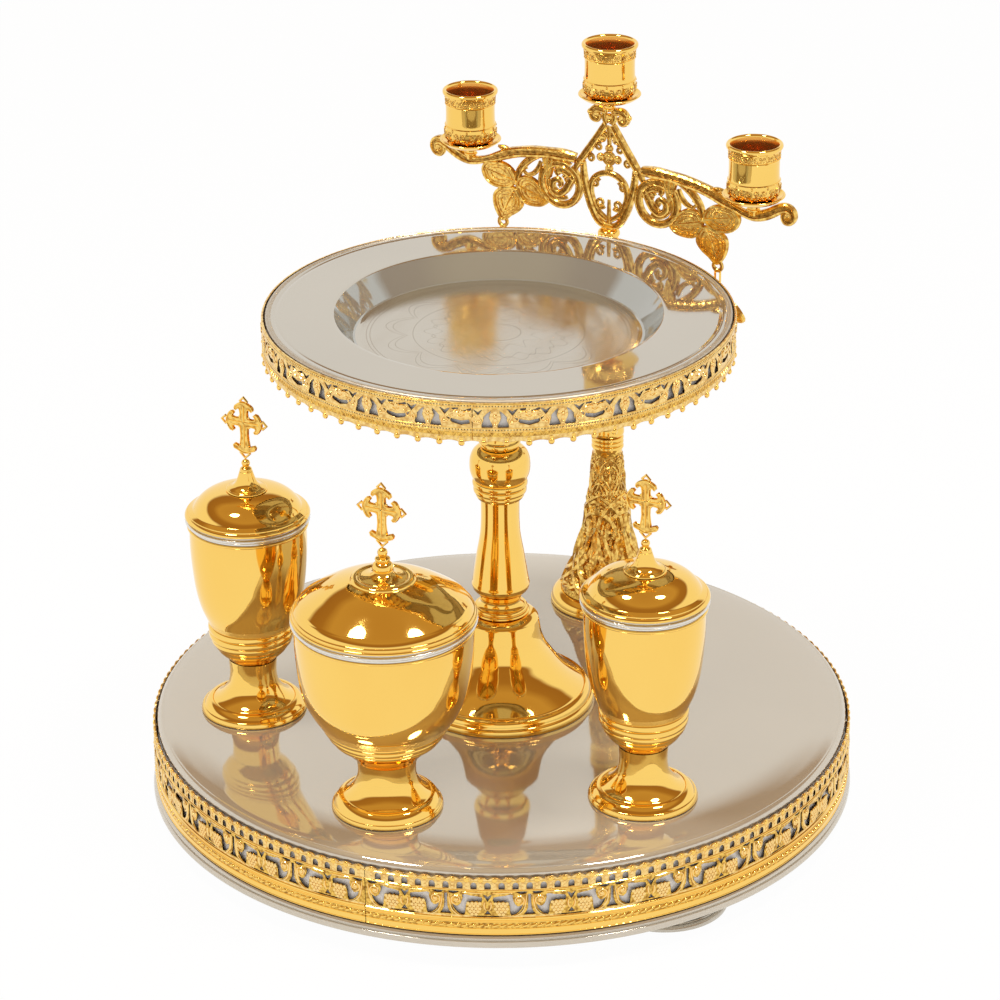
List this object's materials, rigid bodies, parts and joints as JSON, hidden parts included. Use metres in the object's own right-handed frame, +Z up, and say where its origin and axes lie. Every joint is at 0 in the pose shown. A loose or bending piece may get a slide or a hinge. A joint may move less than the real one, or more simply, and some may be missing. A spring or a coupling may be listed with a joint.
{
  "type": "vigil dish",
  "caption": "Round footed tray with pierced gallery, raised plate with pierced skirt, covered goblets and bowl with crosses, and a branched candelabrum with pendants.",
  "frame": {"origin": "on the table, on the axis of the central column", "axes": "+Z up, the bowl at the front on -Y, the candelabrum at the back on +Y, +X to the right seen from the front"},
  "size_m": [0.4, 0.4, 0.4064],
  "materials": {
    "gold": "polished gilt brass",
    "silver": "polished silver plate",
    "steel": "plain steel"
  },
  "bodies": {
    "base": {"base_tray": "silver", "bottom_sheet": "steel", "foot_front_right": "silver", "foot_back": "silver", "foot_front_left": "silver", "foot_screw_front_right": "steel", "foot_screw_back": "steel", "foot_screw_front_left": "steel", "gallery_right": "gold", "gallery_left": "gold", "column_base": "gold", "column_collar": "gold", "column_shaft": "gold", "column_knop": "gold", "column_neck": "gold", "column_rod": "steel", "column_nut": "steel", "plate_boss": "gold", "upper_plate": "silver", "plate_skirt": "gold", "candelabrum_foot": "gold", "candelabrum_trumpet": "gold", "candelabrum_post": "gold", "candelabrum_rod": "steel", "candelabrum_nut": "steel"},
    "branches": {"branch_socket": "gold", "branch_casting": "gold", "drip_pan_middle": "gold", "drip_pan_left": "gold", "drip_pan_right": "gold", "candle_cup_middle": "gold", "candle_cup_left": "gold", "candle_cup_right": "gold", "candle_screw_middle": "steel", "candle_screw_left": "steel", "candle_screw_right": "steel"},
    "link_left": {"pendant_link_left": "gold"},
    "drop_left": {"pendant_drop_left": "gold"},
    "link_right": {"pendant_link_right": "gold"},
    "drop_right": {"pendant_drop_right": "gold"},
    "goblet_left": {"goblet_left_foot": "gold", "goblet_left_cup": "gold", "goblet_left_mouth": "silver"},
    "goblet_left_cover": {"goblet_left_lid": "gold", "goblet_left_finial": "gold", "goblet_left_cross": "gold"},
    "goblet_right": {"goblet_right_foot": "gold", "goblet_right_cup": "gold", "goblet_right_mouth": "silver"},
    "goblet_right_cover": {"goblet_right_lid": "gold", "goblet_right_finial": "gold", "goblet_right_cross": "gold"},
    "bowl": {"bowl_foot": "gold", "bowl_cup": "gold", "bowl_mouth": "silver"},
    "bowl_cover": {"bowl_lid": "gold", "bowl_finial": "gold", "bowl_cross": "gold"}
  },
  "joints": [
    {"name": "goblet_left_lift_out", "type": "slide", "parent": "base", "child": "goblet_left", "axis": [-0.6093, -0.3589, 0.7071], "range_m": [0, 0.06]},
    {"name": "goblet_left_lid_lift", "type": "slide", "parent": "goblet_left", "child": "goblet_left_cover", "axis": [0, 0, 1], "range_m": [0, 0.03]},
    {"name": "goblet_right_lift_out", "type": "slide", "parent": "base", "child": "goblet_right", "axis": [0.6061, -0.3642, 0.7071], "range_m": [0, 0.06]},
    {"name": "goblet_right_lid_lift", "type": "slide", "parent": "goblet_right", "child": "goblet_right_cover", "axis": [0, 0, 1], "range_m": [0, 0.03]},
    {"name": "bowl_lift_out", "type": "slide", "parent": "base", "child": "bowl", "axis": [0, -0.7071, 0.7071], "range_m": [0, 0.06]},
    {"name": "bowl_lid_lift", "type": "slide", "parent": "bowl", "child": "bowl_cover", "axis": [0, 0, 1], "range_m": [0, 0.03]},
    {"name": "branch_swivel", "type": "hinge", "parent": "base", "child": "branches", "pos_m": [0.00196, 0.14069, 0.2827], "axis": [0, 0, 1], "range_deg": [-9.4, 20.6]},
    {"name": "link_sway_left", "type": "hinge", "parent": "branches", "child": "link_left", "pos_m": [-0.06907, 0.14765, 0.28229], "axis": [0.0976, 0.9952, 0], "range_deg": [-12, 12]},
    {"name": "drop_swing_left", "type": "hinge", "parent": "link_left", "child": "drop_left", "pos_m": [-0.06907, 0.14765, 0.27119], "axis": [0.9952, -0.0976, 0], "range_deg": [-10, 12]},
    {"name": "link_sway_right", "type": "hinge", "parent": "branches", "child": "link_right", "pos_m": [0.073, 0.13372, 0.28229], "axis": [0.0976, 0.9952, 0], "range_deg": [-12, 12]},
    {"name": "drop_swing_right", "type": "hinge", "parent": "link_right", "child": "drop_right", "pos_m": [0.073, 0.13372, 0.27119], "axis": [0.9952, -0.0976, 0], "range_deg": [-10, 12]}
  ]
}
